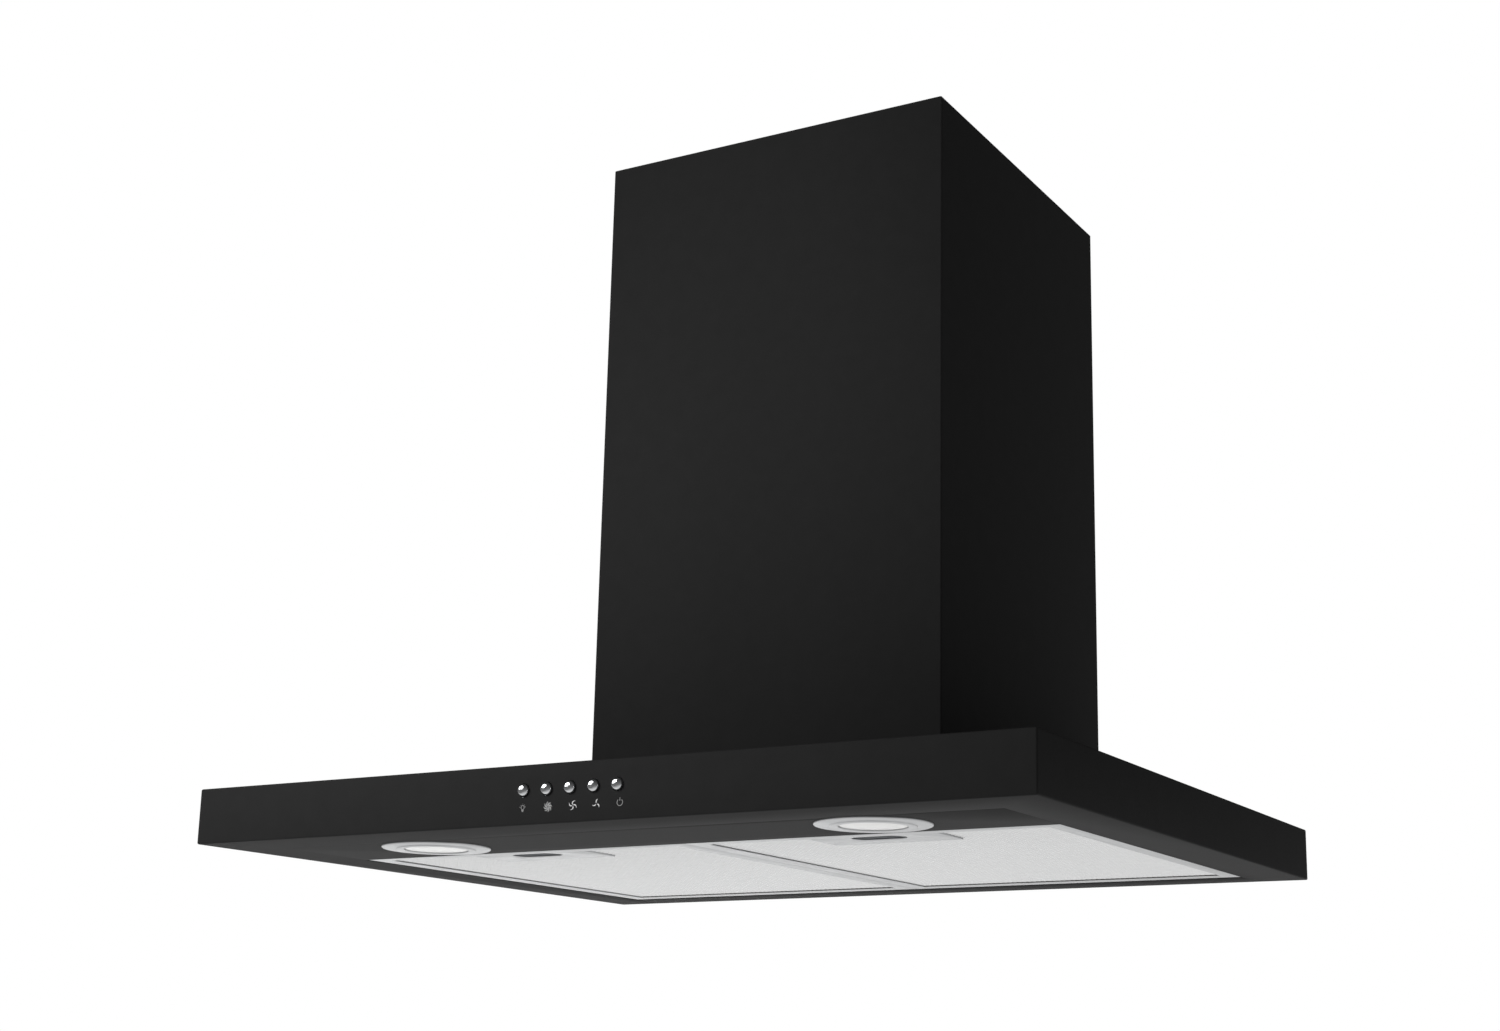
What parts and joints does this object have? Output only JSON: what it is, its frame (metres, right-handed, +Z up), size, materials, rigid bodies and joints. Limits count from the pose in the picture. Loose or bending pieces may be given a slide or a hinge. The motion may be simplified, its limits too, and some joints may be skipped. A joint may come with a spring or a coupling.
{
  "type": "wall chimney range hood",
  "caption": "Wall-mounted T-shape chimney cooker hood with a flat black canopy, push buttons, round lamps, drop-down aluminium filters and a telescopic chimney.",
  "frame": {"origin": "middle of the canopy's lower rear edge, on the wall plane", "axes": "+X to the viewer's right along the canopy, +Y into the wall, +Z up; the front faces -Y"},
  "size_m": [0.6, 0.498, 0.534],
  "materials": {
    "black_paint": "satin, fine powder coat",
    "satin_aluminium": "satin anodised",
    "filter_mesh": "expanded mesh, bright",
    "frosted_lens": "frosted, milky",
    "heat_sink": "die cast",
    "spring_steel": "rolled",
    "chrome_cap": "bright plated",
    "black_plastic": "moulded, fine texture",
    "grey_plastic": "moulded",
    "zinc_steel": "galvanised",
    "bright_steel": "bright zinc plated",
    "circuit_board": "solder resist",
    "white_plastic": "moulded"
  },
  "bodies": {
    "hood": {"canopy_shell": "black_paint", "lamp_panel": "black_paint", "rear_rail": "black_paint", "lamp_ring_left": "satin_aluminium", "lamp_ring_right": "satin_aluminium", "lamp_lens_left": "frosted_lens", "lamp_lens_right": "frosted_lens", "lamp_body_left": "heat_sink", "lamp_body_right": "heat_sink", "lamp_clips_left": "spring_steel", "lamp_clips_right": "spring_steel", "switch_body": "black_plastic", "switch_bracket": "zinc_steel", "blower_box": "zinc_steel", "volute_left": "black_plastic", "volute_right": "black_plastic", "motor": "zinc_steel", "motor_bracket": "zinc_steel", "motor_screws": "bright_steel", "outlet_spigot": "black_plastic", "flap_pin": "bright_steel", "box_screws": "bright_steel", "control_box": "black_plastic", "control_lid": "black_plastic", "circuit_board": "circuit_board", "capacitor": "white_plastic", "terminal_block": "white_plastic", "cable_gland": "black_plastic", "lower_chimney": "black_paint", "chimney_screws": "bright_steel", "wall_bracket": "zinc_steel"},
    "button_light": {"button_light": "chrome_cap"},
    "button_speed_high": {"button_speed_high": "chrome_cap"},
    "button_speed_mid": {"button_speed_mid": "chrome_cap"},
    "button_speed_low": {"button_speed_low": "chrome_cap"},
    "button_power": {"button_power": "chrome_cap"},
    "filter_left": {"filter_frame_left": "satin_aluminium", "filter_mesh_left": "filter_mesh", "filter_core_left": "filter_mesh", "latch_plate_left": "satin_aluminium"},
    "latch_left": {"latch_slider_left": "grey_plastic"},
    "flap_left": {"flap_left": "grey_plastic"},
    "filter_right": {"filter_frame_right": "satin_aluminium", "filter_mesh_right": "filter_mesh", "filter_core_right": "filter_mesh", "latch_plate_right": "satin_aluminium"},
    "latch_right": {"latch_slider_right": "grey_plastic"},
    "flap_right": {"flap_right": "grey_plastic"},
    "impeller": {"impeller": "black_plastic", "impeller_shaft": "bright_steel"},
    "upper_chimney": {"upper_chimney": "black_paint", "chimney_bracket": "zinc_steel"}
  },
  "joints": [
    {"name": "button_light_press", "type": "slide", "parent": "hood", "child": "button_light", "axis": [0, 1, 0], "range_m": [0, 0.002], "stiffness_N_per_m": 300, "springref_m": -0.0015},
    {"name": "button_speed_high_press", "type": "slide", "parent": "hood", "child": "button_speed_high", "axis": [0, 1, 0], "range_m": [0, 0.002], "stiffness_N_per_m": 300, "springref_m": -0.0015},
    {"name": "button_speed_mid_press", "type": "slide", "parent": "hood", "child": "button_speed_mid", "axis": [0, 1, 0], "range_m": [0, 0.002], "stiffness_N_per_m": 300, "springref_m": -0.0015},
    {"name": "button_speed_low_press", "type": "slide", "parent": "hood", "child": "button_speed_low", "axis": [0, 1, 0], "range_m": [0, 0.002], "stiffness_N_per_m": 300, "springref_m": -0.0015},
    {"name": "button_power_press", "type": "slide", "parent": "hood", "child": "button_power", "axis": [0, 1, 0], "range_m": [0, 0.002], "stiffness_N_per_m": 300, "springref_m": -0.0015},
    {"name": "filter_left_drop", "type": "hinge", "parent": "hood", "child": "filter_left", "pos_m": [-0.13085, -0.0345, 0.0004], "axis": [1, 0, 0], "range_deg": [0, 75]},
    {"name": "latch_left_pull", "type": "slide", "parent": "filter_left", "child": "latch_left", "axis": [0, 1, 0], "range_m": [0, 0.006], "stiffness_N_per_m": 400, "springref_m": -0.002},
    {"name": "filter_right_drop", "type": "hinge", "parent": "hood", "child": "filter_right", "pos_m": [0.13085, -0.0345, 0.0004], "axis": [1, 0, 0], "range_deg": [0, 75]},
    {"name": "latch_right_pull", "type": "slide", "parent": "filter_right", "child": "latch_right", "axis": [0, 1, 0], "range_m": [0, 0.006], "stiffness_N_per_m": 400, "springref_m": -0.002},
    {"name": "impeller_spin", "type": "hinge", "parent": "hood", "child": "impeller", "pos_m": [0, -0.112, 0.15], "axis": [1, 0, 0], "continuous": true},
    {"name": "flap_left_lift", "type": "hinge", "parent": "hood", "child": "flap_left", "pos_m": [0, -0.146, 0.3162], "axis": [0, 1, 0], "range_deg": [0, 75]},
    {"name": "flap_right_lift", "type": "hinge", "parent": "hood", "child": "flap_right", "pos_m": [0, -0.146, 0.3162], "axis": [0, -1, 0], "range_deg": [0, 75]},
    {"name": "upper_chimney_slide", "type": "slide", "parent": "hood", "child": "upper_chimney", "axis": [0, 0, 1], "range_m": [0, 0.4]}
  ]
}
